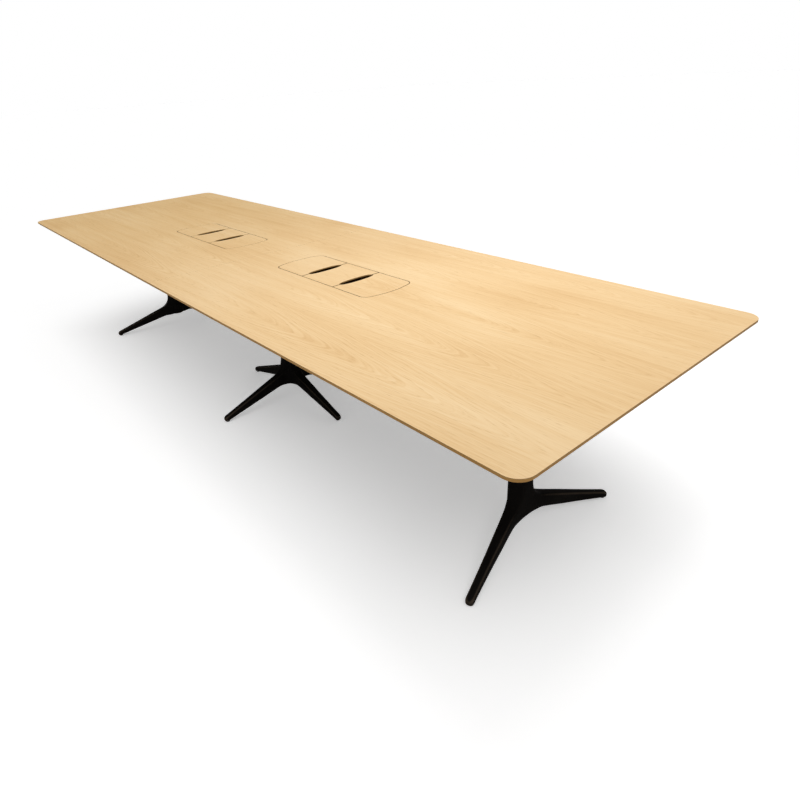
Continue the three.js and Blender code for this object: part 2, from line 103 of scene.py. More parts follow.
def pieceOf(name, mesh, materials, pick=None, smoothAngle=35):
    mesh.name = name
    mesh.materials.clear()
    for material in materials:
        mesh.materials.append(material)
    for polygon in mesh.polygons:
        polygon.material_index = pick(polygon) if pick else 0
    mesh.shade_smooth()
    mesh.set_sharp_from_angle(angle=math.radians(smoothAngle))
    piece = bpy.data.objects.new(name, mesh)
    bpy.context.scene.collection.objects.link(piece)
    return piece


def settle(piece, body, slotName, *nodes):
    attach(piece, body)
    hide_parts(*nodes)


def evaluated(piece):
    depsgraph = bpy.context.evaluated_depsgraph_get()
    mesh = bpy.data.meshes.new_from_object(piece.evaluated_get(depsgraph))
    bpy.data.objects.remove(piece)
    return mesh


# rings of equal count, anticlockwise seen from above, listed from below upwards
def addWalls(bm, loops, inward=False):
    rings = [[bm.verts.new(point) for point in loop] for loop in loops]
    for low, high in zip(rings, rings[1:]):
        for i in range(len(low)):
            j = (i + 1) % len(low)
            corners = (low[i], low[j], high[j], high[i])
            bm.faces.new(reversed(corners) if inward else corners)
    return rings


def addSolid(bm, loops):
    rings = addWalls(bm, loops)
    bm.faces.new(reversed(rings[0]))
    bm.faces.new(rings[-1])


def arc(x, y, radius, start, end, steps):
    angles = [start + (end - start) * i / steps for i in range(steps + 1)]
    return [(x + radius * math.cos(a), y + radius * math.sin(a)) for a in angles]


def atHeight(points, height, offset=0.0, turned=False):
    sign = -1 if turned else 1
    return [Vector((sign * (x + offset), sign * y, height)) for x, y in points]


# materials

# Crown-cut oak veneer, slip-matched and lacquered satin: faint nested flames up the middle of each leaf,
# straight lines at its edges, fine pores and a soft sheen. Rings and pores are drawn about twice as wide
# as real ones so that they show from across a room.
veneer = {
    "leafWidth": 220 * mm, "slip": 0.13, "ringWidth": 5.5 * mm, "crownDepth": 22 * mm,
    "lean": 0.11, "heartWander": 90 * mm, "wobble": 26 * mm, "noiseRoughness": 0.55, "noiseApart": 3.0,
    "light": "#f6dbb0", "middle": "#e9c796", "dark": "#cfa26a", "pore": "#b08652", "middleStop": 0.45,
    "tone": 0.42, "rings": 0.5, "fibre": 0.4, "streak": 0.4, "patch": 0.5, "ringRoughness": 0.65,
    "figureRange": (0.4, 0.62), "plainShare": 0.25,
    "poreRange": (0.58, 0.72), "earlyRange": (0.45, 0.65), "earlyShare": (0.05, 0.4),
    # painted light: extra warmth and lightness drawn towards the left end of the top
    "paintedWarmFrom": 0.3, "paintedWarmTo": -1.2, "paintedWarmth": 1.1, "paintedLift": 1.06,
    "roughness": 0.5, "specular": 0.015, "bump": 0.12, "bumpDepth": 0.15 * mm,
}
# length along the grain, width across it and detail of each pattern, on the leaf or on the whole top
leafPatterns = {"heart": (1100 * mm, 2000 * mm, 1.5), "wobble": (380 * mm, 80 * mm, 3.0),
                "figure": (900 * mm, 2000 * mm, 1.0)}
topPatterns = {"fibre": (300 * mm, 2.8 * mm, 3.0), "streak": (800 * mm, 30 * mm, 2.0),
               "patch": (520 * mm, 230 * mm, 1.0), "pores": (45 * mm, 1.8 * mm, 1.0)}


def makeVeneer():
    material, tree, shader = newMaterial("crown-cut oak veneer, satin lacquer")
    reckon = "ShaderNodeMath"
    place = addNode(tree, "ShaderNodeTexCoord").outputs["Object"]
    x, y = addNode(tree, "ShaderNodeSeparateXYZ", {0: place}).outputs[:2]

    # number of the leaf, and the distance from its middle
    leafPlace = addNode(tree, reckon, {0: y, 1: 1 / veneer["leafWidth"], 2: 0.5}, operation="MULTIPLY_ADD")
    leaf = addNode(tree, reckon, {0: leafPlace}, operation="FLOOR")
    slip = addNode(tree, reckon, {0: leaf, 1: veneer["slip"]}, operation="MULTIPLY")
    share = addNode(tree, reckon, {0: leafPlace, 1: leaf}, operation="SUBTRACT")
    fromMiddle = addNode(tree, reckon, {0: share, 1: 0.5}, operation="SUBTRACT")
    across = addNode(tree, reckon, {0: fromMiddle, 1: veneer["leafWidth"]}, operation="MULTIPLY")
    onLeaf = addNode(tree, "ShaderNodeCombineXYZ", {"X": x, "Y": across, "Z": slip})

    noise = {}
    for source, patterns in ((onLeaf, leafPatterns), (place, topPatterns)):
        for name, (length, width, detail) in patterns.items():
            stretched = addNode(tree, "ShaderNodeMapping", {
                "Vector": source, "Location": (0.0, 0.0, veneer["noiseApart"] * len(noise)),
                "Scale": (1 / length, 1 / width, 1.0)})
            noise[name] = addNode(tree, "ShaderNodeTexNoise", {
                "Vector": stretched, "Scale": 1.0, "Detail": detail, "Roughness": veneer["noiseRoughness"]})

    # distance from the heart of the log, whose depth below the cut grows and wanders along the leaf
    square = addNode(tree, reckon, {0: across, 1: across, 2: veneer["crownDepth"] ** 2},
                     operation="MULTIPLY_ADD")
    ringPlace = addNode(tree, reckon, {0: square}, operation="SQRT")
    bends = [(x, veneer["lean"]), (noise["heart"], veneer["heartWander"]),
             (noise["wobble"], veneer["wobble"])]
    for source, amount in bends:
        ringPlace = addNode(tree, reckon, {0: source, 1: amount, 2: ringPlace}, operation="MULTIPLY_ADD")
    ringNumber = addNode(tree, reckon, {0: ringPlace, 1: veneer["ringWidth"]}, operation="DIVIDE")
    rings = addNode(tree, "ShaderNodeTexNoise", {
        "W": ringNumber, "Scale": 1.0, "Detail": 2.0, "Roughness": veneer["ringRoughness"]},
        noise_dimensions="1D")

    # flames show in some stretches and fade in others
    least, most = veneer["figureRange"]
    figure = addNode(tree, "ShaderNodeMapRange", {
        "Value": noise["figure"], "From Min": least, "From Max": most, "To Min": veneer["plainShare"]})
    ringTone = addNode(tree, reckon, {0: rings, 1: 0.5}, operation="SUBTRACT")
    tone = addNode(tree, reckon, {0: ringTone, 1: figure}, operation="MULTIPLY")
    tone = addNode(tree, reckon, {0: tone, 1: veneer["rings"], 2: veneer["tone"]}, operation="MULTIPLY_ADD")
    for name in ("fibre", "streak", "patch"):
        offset = addNode(tree, reckon, {0: noise[name], 1: 0.5}, operation="SUBTRACT")
        tone = addNode(tree, reckon, {0: offset, 1: veneer[name], 2: tone}, operation="MULTIPLY_ADD")
    wood = addNode(tree, "ShaderNodeValToRGB", {"Fac": tone}, stops=[
        (0.0, veneer["light"]), (veneer["middleStop"], veneer["middle"]), (1.0, veneer["dark"])])

    # painted light: the veneer is drawn warmer and a little lighter towards the left end, standing in for the
    # warmer light that falls there
    paintedLightDrift = addNode(tree, "ShaderNodeMapRange", {
        "Value": x, "From Min": veneer["paintedWarmFrom"], "From Max": veneer["paintedWarmTo"]})
    wood = addNode(tree, "ShaderNodeHueSaturation", {
        "Color": wood, "Saturation": veneer["paintedWarmth"], "Value": veneer["paintedLift"], "Fac": paintedLightDrift})

    # pores lie in the early wood of each ring
    least, most = veneer["poreRange"]
    pore = addNode(tree, "ShaderNodeMapRange", {"Value": noise["pores"], "From Min": least, "From Max": most})
    (least, most), (few, many) = veneer["earlyRange"], veneer["earlyShare"]
    early = addNode(tree, "ShaderNodeMapRange", {
        "Value": rings, "From Min": least, "From Max": most, "To Min": few, "To Max": many})
    openPore = addNode(tree, reckon, {0: pore, 1: early}, operation="MULTIPLY")
    pored = addNode(tree, "ShaderNodeMix", {"Factor": openPore, "A": wood, "B": linear(veneer["pore"])},
                    data_type="RGBA")
    relief = addNode(tree, reckon, {0: noise["fibre"], 1: openPore}, operation="SUBTRACT")
    bump = addNode(tree, "ShaderNodeBump", {
        "Height": relief, "Strength": veneer["bump"], "Distance": veneer["bumpDepth"]})
    feed(tree, shader, {"Base Color": pored.outputs["Result"], "Normal": bump,
                        "Roughness": veneer["roughness"], "Specular IOR Level": veneer["specular"]})
    return material


# Solid oak, stained and lacquered: fine lines along the strip. The hatch edges are drawn dark brown as
# painted shade, so that the gaps read as dark lines, and the rims of the slots are left in the colour of the
# wood.
stain = {"lineLength": 180 * mm, "lineWidth": 1.6 * mm, "detail": 3.0, "lightStop": 0.25, "darkStop": 0.75,
         "noiseRoughness": 0.6, "bump": 0.1, "bumpDepth": 0.1 * mm, "roughness": 0.5, "specular": 0.05}


def makeStained(name, light, dark, coordinate, scale):
    material, tree, shader = newMaterial(name)
    place = addNode(tree, "ShaderNodeTexCoord").outputs[coordinate]
    stretched = addNode(tree, "ShaderNodeMapping", {"Vector": place, "Scale": scale})
    lines = addNode(tree, "ShaderNodeTexNoise", {
        "Vector": stretched, "Scale": 1.0, "Detail": stain["detail"], "Roughness": stain["noiseRoughness"]})
    colour = addNode(tree, "ShaderNodeValToRGB", {"Fac": lines}, stops=[
        (stain["lightStop"], light), (stain["darkStop"], dark)])
    bump = addNode(tree, "ShaderNodeBump", {
        "Height": lines, "Strength": stain["bump"], "Distance": stain["bumpDepth"]})
    feed(tree, shader, {"Base Color": colour, "Normal": bump,
                        "Roughness": stain["roughness"], "Specular IOR Level": stain["specular"]})
    return material


# Powder coat: a baked film over metal, with a fine orange peel that breaks up its highlights. On the castings
# a painted highlight is drawn along the rounded edges, as a paler, warmer line.
coat = {"cloud": 90 * mm, "darkStop": 0.3, "lightStop": 0.7, "detail": 2.0, "bumpDepth": 0.2 * mm,
        "smoother": 0.04, "rougher": 0.05, "highlightFrom": 0.512, "highlightTo": 0.55}


def makePowderCoat(name, dark, light, roughness, specular, peel, strength, paintedHighlight=None):
    material, tree, shader = newMaterial(name)
    place = addNode(tree, "ShaderNodeTexCoord").outputs["Object"]
    grain = addNode(tree, "ShaderNodeTexNoise", {
        "Vector": place, "Scale": 1 / peel, "Detail": coat["detail"]})
    cloud = addNode(tree, "ShaderNodeTexNoise", {
        "Vector": place, "Scale": 1 / coat["cloud"], "Detail": coat["detail"]})
    film = addNode(tree, "ShaderNodeValToRGB", {"Fac": cloud}, stops=[
        (coat["darkStop"], dark), (coat["lightStop"], light)])
    colour = film.outputs["Color"]
    # painted highlight: a paler, warmer colour where the surface bends sharply, along the rounded edges
    if paintedHighlight:
        bend = addNode(tree, "ShaderNodeNewGeometry").outputs["Pointiness"]
        edge = addNode(tree, "ShaderNodeMapRange", {
            "Value": bend, "From Min": coat["highlightFrom"], "From Max": coat["highlightTo"]})
        paintedRidgeHighlight = addNode(tree, "ShaderNodeMix", {"Factor": edge, "A": film, "B": linear(paintedHighlight)},
                       data_type="RGBA")
        colour = paintedRidgeHighlight.outputs["Result"]
    gloss = addNode(tree, "ShaderNodeMapRange", {
        "Value": cloud, "From Min": coat["darkStop"], "From Max": coat["lightStop"],
        "To Min": roughness - coat["smoother"], "To Max": roughness + coat["rougher"]})
    bump = addNode(tree, "ShaderNodeBump", {
        "Height": grain, "Strength": strength, "Distance": coat["bumpDepth"]})
    feed(tree, shader, {"Base Color": colour, "Roughness": gloss, "Normal": bump,
                        "Specular IOR Level": specular})
    return material


# Turned or plated steel: fine scratches and a slightly uneven gloss.
polish = {"detail": 3.0, "smoother": 0.08, "rougher": 0.1}


def makeSteel(name, colour, roughness, scratch):
    material, tree, shader = newMaterial(name)
    place = addNode(tree, "ShaderNodeTexCoord").outputs["Object"]
    marks = addNode(tree, "ShaderNodeTexNoise", {
        "Vector": place, "Scale": 1 / scratch, "Detail": polish["detail"]})
    gloss = addNode(tree, "ShaderNodeMapRange", {
        "Value": marks, "To Min": roughness - polish["smoother"], "To Max": roughness + polish["rougher"]})
    feed(tree, shader, {"Metallic": 1.0, "Base Color": linear(colour), "Roughness": gloss})
    return material


# Moulded plastic and laminate: one colour with a faint mottle from the tool, matt.
moulding = {"mottle": 4 * mm, "detail": 2.0, "darkStop": 0.3, "lightStop": 0.7, "bump": 0.1,
            "bumpDepth": 0.1 * mm, "specular": 0.35}


def makePlastic(name, dark, light, roughness):
    material, tree, shader = newMaterial(name)
    place = addNode(tree, "ShaderNodeTexCoord").outputs["Object"]
    mottle = addNode(tree, "ShaderNodeTexNoise", {
        "Vector": place, "Scale": 1 / moulding["mottle"], "Detail": moulding["detail"]})
    colour = addNode(tree, "ShaderNodeValToRGB", {"Fac": mottle}, stops=[
        (moulding["darkStop"], dark), (moulding["lightStop"], light)])
    bump = addNode(tree, "ShaderNodeBump", {
        "Height": mottle, "Strength": moulding["bump"], "Distance": moulding["bumpDepth"]})
    feed(tree, shader, {"Base Color": colour, "Normal": bump, "Roughness": roughness,
                        "Specular IOR Level": moulding["specular"]})
    return material


alongStrip = (1 / stain["lineLength"], 1 / stain["lineWidth"], 1.0)
alongEdge = (1 / stain["lineLength"], 1 / stain["lineLength"], 1 / stain["lineWidth"])
oakVeneer = makeVeneer()
oakStrip = makeStained("solid oak lipping, stained", "#c2965a", "#8e6734", "UV", alongStrip)
# painted shade: the edges round the hatch gaps and the flares under the slots are drawn dark brown
oakEdge = makeStained("oak hatch edge, painted gap shade", "#5a3a18", "#38230d", "Object", alongEdge)
oakRim = makeStained("oak slot rim, lacquered", "#d0a468", "#b0824a", "Object", alongEdge)
backing = makePlastic("balancing laminate, grey", "#77736e", "#827e79", 0.6)
# dark and light colour, roughness, specular level, width and strength of the orange peel
mattBlack = ("#131110", "#1a1816", 0.6, 0.003, 1.6 * mm, 0.05)
textureBlack = ("#111111", "#191918", 0.6, 0.25, 0.9 * mm, 0.2)
# the last colour is a painted highlight along the rounded edges of the castings
castBlack = makePowderCoat("cast aluminium, black powder coat", *mattBlack, "#6a5c4e")
tubeBlack = makePowderCoat("steel tube, black powder coat", *mattBlack)
steelBlack = makePowderCoat("sheet steel, black texture coat", *textureBlack)
turnedSteel = makeSteel("turned steel pin", "#b4b6b8", 0.32, 0.8 * mm)
zincSteel = makeSteel("zinc plated screw", "#9a9c9c", 0.4, 1.2 * mm)
acetal = makePlastic("acetal bush, natural", "#cfcabd", "#ddd9cd", 0.45)
nylonBlack = makePlastic("nylon glide, black", "#101010", "#191919", 0.55)
print("materials made")


# camera, fitted to the edges and feet of the table

shot = {"place": (2.3032, -1.2405, 1.3652), "yaw": 140.11, "pitch": -29.35, "roll": 3.33, "lens": 26.12,
        "sensor": 36.0, "clipEnd": 100.0, "shift": 0.5 / 800}  # half a pixel of an 800 pixel frame


def makeCamera():
    camera = bpy.data.objects.new("camera", bpy.data.cameras.new("camera"))
    bpy.context.scene.collection.objects.link(camera)
    yaw, pitch = math.radians(shot["yaw"]), math.radians(shot["pitch"])
    ahead = Vector((math.cos(pitch) * math.cos(yaw), math.cos(pitch) * math.sin(yaw), math.sin(pitch)))
    camera.location = shot["place"]
    camera.rotation_mode = "QUATERNION"
    tilt = Quaternion((0, 0, 1), -math.radians(shot["roll"]))
    camera.rotation_quaternion = ahead.to_track_quat("-Z", "Y") @ tilt
    camera.data.lens = shot["lens"]
    camera.data.sensor_width = shot["sensor"]
    camera.data.shift_x, camera.data.shift_y = -shot["shift"], shot["shift"]
    camera.data.clip_end = shot["clipEnd"]
    bpy.context.scene.camera = camera


makeCamera()
print("camera placed")


# table top: two boards, their lippings, the hatch lids and the fixed bridges

top = {
    "height": cadBox[1].z, "halfLength": cadBox[1].x, "halfWidth": cadBox[1].y,
    "underside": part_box("top_board_right")[0].z, "cornerRadius": 45 * mm, "veneer": 0.8 * mm,
    "lipping": 30 * mm, "glueLine": 0.2 * mm, "rim": 9 * mm, "nose": 1.2 * mm, "noseSteps": 4,
    "seamHalf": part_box("top_board_right")[0].x, "buttHalf": 0.02 * mm, "arris": 0.5 * mm, "steps": 20,
    "facesUp": 0.6, "facesDown": -0.95,
}
bridgeBox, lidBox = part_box("bridge_panel_right"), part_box("lid_right_outer")
hatchX = (bridgeBox[0].x + bridgeBox[1].x) / 2
hatch = {
    "halfGap": 1.5 * mm, "endRadius": 300 * mm, "cornerRadius": 30 * mm, "slotHalfLength": 76 * mm,
    "slotHalfWidth": 18.5 * mm, "slotFullness": 2.5, "slotRim": 4.5 * mm, "slotFlare": 15 * mm, "steps": 20,
}
# the middle line of the gap round the lids, and the edges on both sides of a slot
hatch["halfWidth"] = lidBox[1].y + hatch["halfGap"]
hatch["halfLength"] = lidBox[1].x + hatch["halfGap"] - hatchX
hatch["bridgeEdge"], hatch["lidEdge"] = bridgeBox[1].x - hatchX, lidBox[0].x - hatchX
slotX = (hatch["bridgeEdge"] + hatch["lidEdge"]) / 2


def rimPoints(inset, seam):
    radius = top["cornerRadius"] - inset
    x, y = top["halfLength"] - top["cornerRadius"], top["halfWidth"] - top["cornerRadius"]
    points = [(seam, -top["halfWidth"] + inset)]
    points += arc(x, -y, radius, -math.pi / 2, 0, top["steps"])
    points += arc(x, y, radius, 0, math.pi / 2, top["steps"])
    return points + [(seam, top["halfWidth"] - inset)]


# the bowed end of a hatch at +X: corner, bow and corner
def bowedEnd(inset):
    bowX = hatch["halfLength"] - hatch["endRadius"]
    y = hatch["halfWidth"] - hatch["cornerRadius"]
    x = bowX + math.sqrt((hatch["endRadius"] - hatch["cornerRadius"]) ** 2 - y ** 2)
    lean = math.atan2(y, x - bowX)
    corner, bow = hatch["cornerRadius"] - inset, hatch["endRadius"] - inset
    points = arc(x, -y, corner, -math.pi / 2, -lean, hatch["steps"])
    points += arc(bowX, 0, bow, -lean, lean, hatch["steps"])[1:]
    return points + arc(x, y, corner, lean, math.pi / 2, hatch["steps"])[1:]


def openingPoints(inset):
    end = bowedEnd(inset)
    return end + [(-x, -y) for x, y in end]


# one side of a boat-shaped slot, fuller than an ellipse, from +Y to -Y and as far as a panel's edge
def slotSide(grow, edge):
    halfLength, halfWidth = hatch["slotHalfLength"] + grow, hatch["slotHalfWidth"] + grow
    sweep = math.acos((edge / halfWidth) ** (hatch["slotFullness"] / 2))
    angles = [sweep * (1 - 2 * i / hatch["steps"]) for i in range(hatch["steps"] + 1)]
    power = 2 / hatch["slotFullness"]
    return [(halfWidth * math.cos(a) ** power, math.copysign(halfLength * abs(math.sin(a)) ** power, a))
            for a in angles]


def lidPoints(inset, grow):
    half = hatch["halfWidth"] - hatch["halfGap"] - inset
    edge = hatch["lidEdge"] + inset
    slot = [(slotX + x, y) for x, y in slotSide(grow + inset, edge - slotX)]
    return [(edge, -half)] + bowedEnd(hatch["halfGap"] + inset) + [(edge, half)] + slot


def bridgePoints(inset, grow):
    half = hatch["halfWidth"] - hatch["halfGap"] - inset
    edge = hatch["bridgeEdge"] - inset
    slot = [(slotX - x, -y) for x, y in slotSide(grow + inset, slotX - edge)]
    right = [(edge, -half)] + slot + [(edge, half)]
    return right + [(-x, -y) for x, y in right]


# veneer on the upper face, dark brown painted shade on the edges, laminate underneath
def byFacing(polygon):
    if polygon.normal.z > top["facesUp"] and polygon.center.z > top["height"] - top["veneer"]:
        return 0
    return 2 if polygon.normal.z < top["facesDown"] else 1


# as above, with the upright rims of the slots in plain oak
def byFacingAndSlot(polygon):
    fromSlot = abs(abs(abs(polygon.center.x) - hatchX) - slotX)
    rim = abs(polygon.center.y) < hatch["slotHalfLength"] and fromSlot < hatch["slotHalfWidth"] + top["arris"]
    low = polygon.center.z < top["height"] - hatch["slotRim"]
    return 3 if rim and not low and abs(polygon.normal.z) < top["facesUp"] else byFacing(polygon)


def makeBoard(side, turned):
    bm = bmesh.new()
    sheet = top["height"] - top["veneer"]
    inset = top["lipping"] + top["glueLine"]
    butt, seam, ease = top["buttHalf"], top["seamHalf"], top["arris"] / 2
    outer = [(inset, butt, top["underside"]), (inset, butt, sheet)]  # the boards butt below the veneer
    outer += [(0, seam, sheet), (0, seam, top["height"] - ease), (ease, seam, top["height"])]
    outside = addWalls(bm, [atHeight(rimPoints(i, x), z, 0, turned) for i, x, z in outer])
    inner = [(0, top["underside"]), (0, top["height"] - top["arris"]), (-top["arris"], top["height"])]
    inside = addWalls(bm, [atHeight(openingPoints(i - hatch["halfGap"]), z, hatchX, turned)
                           for i, z in inner], inward=True)
    for level in (0, -1):
        around = [set(ring[level]) for ring in (outside, inside)]
        edges = [e for e in bm.edges if e.is_boundary and any(set(e.verts) <= loop for loop in around)]
        bmesh.ops.triangle_fill(bm, edges=edges, use_beauty=True)
    bmesh.ops.recalc_face_normals(bm, faces=bm.faces)
    piece = pieceFrom(f"veneered_board_{side}", bm, [oakVeneer, oakEdge, backing], byFacing)
    settle(piece, "table", "oak_veneer", f"top_board_{side}")


# section of the lipping as (inset, height), with a rounded lower nose
def lippingSection():
    upper = top["height"] - top["veneer"] - top["glueLine"]
    lower = top["height"] - top["rim"]
    nose, steps = top["nose"], top["noseSteps"]
    angles = [i * math.pi / 2 / steps for i in range(steps)]
    rounded = [(nose - nose * math.cos(a), lower + nose - nose * math.sin(a)) for a in angles]
    return [(0, upper)] + rounded + [(top["lipping"], top["underside"]), (top["lipping"], upper)]


def makeLippingPiece(side, turned):
    bm = bmesh.new()
    section = lippingSection()
    rows = [atHeight(rimPoints(inset, top["buttHalf"]), z, 0, turned) for inset, z in section]
    rings = [[bm.verts.new(row[i]) for row in rows] for i in range(len(rows[0]))]
    uvLayer = bm.loops.layers.uv.new("strip")
    runs = [0.0]
    for before, after in zip(rows[0], rows[0][1:]):
        runs.append(runs[-1] + (after - before).length)
    across = [inset + z for inset, z in section]
    for i in range(len(rings) - 1):
        for j in range(len(section)):
            k = (j + 1) % len(section)
            face = bm.faces.new((rings[i][j], rings[i + 1][j], rings[i + 1][k], rings[i][k]))
            for loop, run, row in zip(face.loops, (i, i + 1, i + 1, i), (j, j, k, k)):
                loop[uvLayer].uv = (runs[run], across[row])
    bm.faces.new(rings[0])
    bm.faces.new(reversed(rings[-1]))
    bmesh.ops.recalc_face_normals(bm, faces=bm.faces)
    piece = pieceFrom(f"lipped_edge_{side}", bm, [oakStrip])
    settle(piece, "table", "oak_lipping", f"edge_lipping_{side}")


# a loose or fixed panel of the hatch: flared round its slots below, with eased upper edges
def makePanel(name, points, offset, turned, body, node):
    bm = bmesh.new()
    rim = top["height"] - hatch["slotRim"]
    levels = [(0, hatch["slotFlare"], top["underside"]), (0, 0, rim), (0, 0, top["height"] - top["arris"])]
    levels.append((top["arris"], 0, top["height"]))
    addSolid(bm, [atHeight(points(inset, grow), z, offset, turned) for inset, grow, z in levels])
    bmesh.ops.recalc_face_normals(bm, faces=bm.faces)
    piece = pieceFrom(name, bm, [oakVeneer, oakEdge, backing, oakRim], byFacingAndSlot)
    settle(piece, body, "oak_veneer", node)


for side, turned in (("right", False), ("left", True)):
    makeBoard(side, turned)
    makeLippingPiece(side, turned)
    makePanel(f"hatch_bridge_{side}", bridgePoints, hatchX, turned, "table", f"bridge_panel_{side}")
    for lid, x, flipped in (("outer", hatchX, turned), ("inner", -hatchX, not turned)):
        makePanel(f"hatch_lid_{side}_{lid}", lidPoints, x, flipped, f"{side}_{lid}_lid", f"lid_{side}_{lid}")
print("table top made")


# cast bases: legs that sweep up into a round trunk, with webs between them

casting = {
    "trunkRadius": 38 * mm, "trunkTop": 280 * mm, "reach": 380 * mm, "tipTop": 23.5 * mm, "tipFloor": 3 * mm,
    "slope": math.radians(20), "sweep": 72 * mm, "rootWidth": 49 * mm, "tipWidth": 28 * mm, "edge": 6 * mm,
    "underEdge": 2.5 * mm, "tipRound": 12 * mm, "tipDrop": 0.5, "tipLift": 0.3,
    "underSlope": math.radians(14.2), "rootFloor": 78 * mm, "rootReach": 76 * mm, "hubFloor": 82 * mm,
    "blend": 6 * mm, "underLegTop": 1.5 * mm,
    "middleWeb": 58 * mm, "endWeb": 42 * mm, "endAngle": math.radians(73), "voxel": 2.4 * mm, "smoothing": 20,
    "hubSmoothing": 60, "hubFade": 170 * mm, "hubHold": 2, "smoothShare": 0.5, "smoothAngle": 80,
    "facets": 96, "levels": 26, "sweepSteps": 24, "crowding": 1.5, "slopeSteps": 30, "tipSteps": 8,
    "edgeSteps": 6, "underSteps": 3,
}
sweepX = casting["trunkRadius"] + casting["sweep"]
tipStart = casting["reach"] - casting["tipRound"]


def slopeHeight(reach):
    return casting["tipTop"] + (casting["reach"] - reach) * math.tan(casting["slope"])


sweepZ = slopeHeight(sweepX) + casting["sweep"] / math.cos(casting["slope"])
slopeStart = sweepX - casting["sweep"] * math.sin(casting["slope"])


def legUpper(reach):
    if reach >= slopeStart:
        return slopeHeight(reach)
    along = min(casting["sweep"], sweepX - reach)
    return sweepZ - math.sqrt(casting["sweep"] ** 2 - along ** 2)


def legLower(reach):
    past = max(0, reach - casting["rootReach"])
    return max(casting["rootFloor"] - past * math.tan(casting["underSlope"]), casting["tipFloor"])


def legRing(reach):
    fromEnd = min(casting["tipRound"], casting["reach"] - reach)
    drawnIn = casting["tipRound"] - math.sqrt(casting["tipRound"] ** 2 - (casting["tipRound"] - fromEnd) ** 2)
    share = max(0, tipStart - reach) / (tipStart - casting["trunkRadius"])
    half = (casting["tipWidth"] + (casting["rootWidth"] - casting["tipWidth"]) * share ** 2) / 2 - drawnIn
    upper = legUpper(reach) - drawnIn * casting["tipDrop"]
    lower = legLower(reach) + drawnIn * casting["tipLift"]
    edge, under = min(casting["edge"], half / 2), min(casting["underEdge"], half / 2)
    ring = arc(-half + under, lower + under, under, math.pi, math.pi * 1.5, casting["underSteps"])
    ring += arc(half - under, lower + under, under, -math.pi / 2, 0, casting["underSteps"])
    ring += arc(half - edge, upper - edge, edge, 0, math.pi / 2, casting["edgeSteps"])
    ring += arc(-half + edge, upper - edge, edge, math.pi / 2, math.pi, casting["edgeSteps"])
    return [Vector((reach, y, z)) for y, z in ring]


# sections of a leg from the trunk to the tip, closest together at the trunk
def legReaches():
    trunk, sweep, slope, tip = (casting[k] for k in ("trunkRadius", "sweepSteps", "slopeSteps", "tipSteps"))
    reaches = [trunk - casting["edge"]]
    for i in range(1, sweep + 1):
        reaches.append(trunk + (slopeStart - trunk) * (i / sweep) ** casting["crowding"])
    reaches += [slopeStart + (tipStart - slopeStart) * i / slope for i in range(1, slope + 1)]
    for i in range(1, tip + 1):
        reaches.append(tipStart + casting["tipRound"] * math.sin(math.pi / 2 * i / tip))
    return reaches


# an arc that touches both legs and comes within the waist of the trunk axis half way between them
def webReach(halfAngle, off, half, waist):
    if halfAngle >= math.pi / 2:
        return 0
    radius = (waist * math.sin(halfAngle) - half) / (1 - math.sin(halfAngle))
    inside = radius ** 2 - ((waist + radius) * math.sin(off)) ** 2
    return (waist + radius) * math.cos(off) - math.sqrt(inside) if inside > 0 else 0


# how far out the upper face of a leg stands at one level, as far as the end of its sweep
def legReachAt(height):
    drop = max(0, sweepZ - height)
    if drop < casting["sweep"] * math.cos(casting["slope"]):
        return sweepX - math.sqrt(casting["sweep"] ** 2 - drop ** 2)
    return min(sweepX, casting["reach"] - (height - casting["tipTop"]) / math.tan(casting["slope"]))


def hubReach(angle, height, legAngles, web):
    trunk = casting["trunkRadius"]
    if height >= casting["trunkTop"]:
        return trunk
    rise = min(1, (height - casting["hubFloor"]) / (sweepZ - casting["hubFloor"]))
    lobe = legReachAt(height) - casting["underLegTop"]
    half = casting["tipWidth"] / 2
    turns = [(angle - leg) % (2 * math.pi) for leg in legAngles]
    behind, ahead = min(turns), 2 * math.pi - max(turns)
    off = min(ahead, behind)
    flank = half / max(half / lobe, math.sin(off)) if off < math.pi else half
    between = webReach((ahead + behind) / 2, (ahead - behind) / 2, half, web + (trunk - web) * rise)
    lobed = min(lobe / math.cos(off), max(flank, between)) if off < math.pi / 2 else 0
    blend = max(0, casting["blend"] - abs(trunk - lobed)) ** 2 / (4 * casting["blend"])
    return max(trunk, lobed) + blend * (1 - rise)


def addHub(bm, x, legAngles, web):
    heights = [casting["hubFloor"] + (sweepZ - casting["hubFloor"]) * i / casting["levels"]
               for i in range(casting["levels"] + 1)]
    loops = []
    for height in heights + [casting["trunkTop"]]:
        angles = [2 * math.pi * i / casting["facets"] for i in range(casting["facets"])]
        reaches = [hubReach(a, height, legAngles, web) for a in angles]
        loops.append([Vector((x + r * math.cos(a), r * math.sin(a), height))
                      for r, a in zip(reaches, angles)])
    addSolid(bm, loops)


def addLeg(bm, x, angle):
    turn = Quaternion((0, 0, 1), angle)
    hub = Vector((x, 0, 0))
    addSolid(bm, [[hub + turn @ point for point in legRing(reach)] for reach in legReaches()])


def addSmoothing(piece, name, iterations, group=""):
    smooth = piece.modifiers.new(name, "SMOOTH")
    smooth.factor = casting["smoothShare"]
    smooth.iterations = iterations
    smooth.vertex_group = group


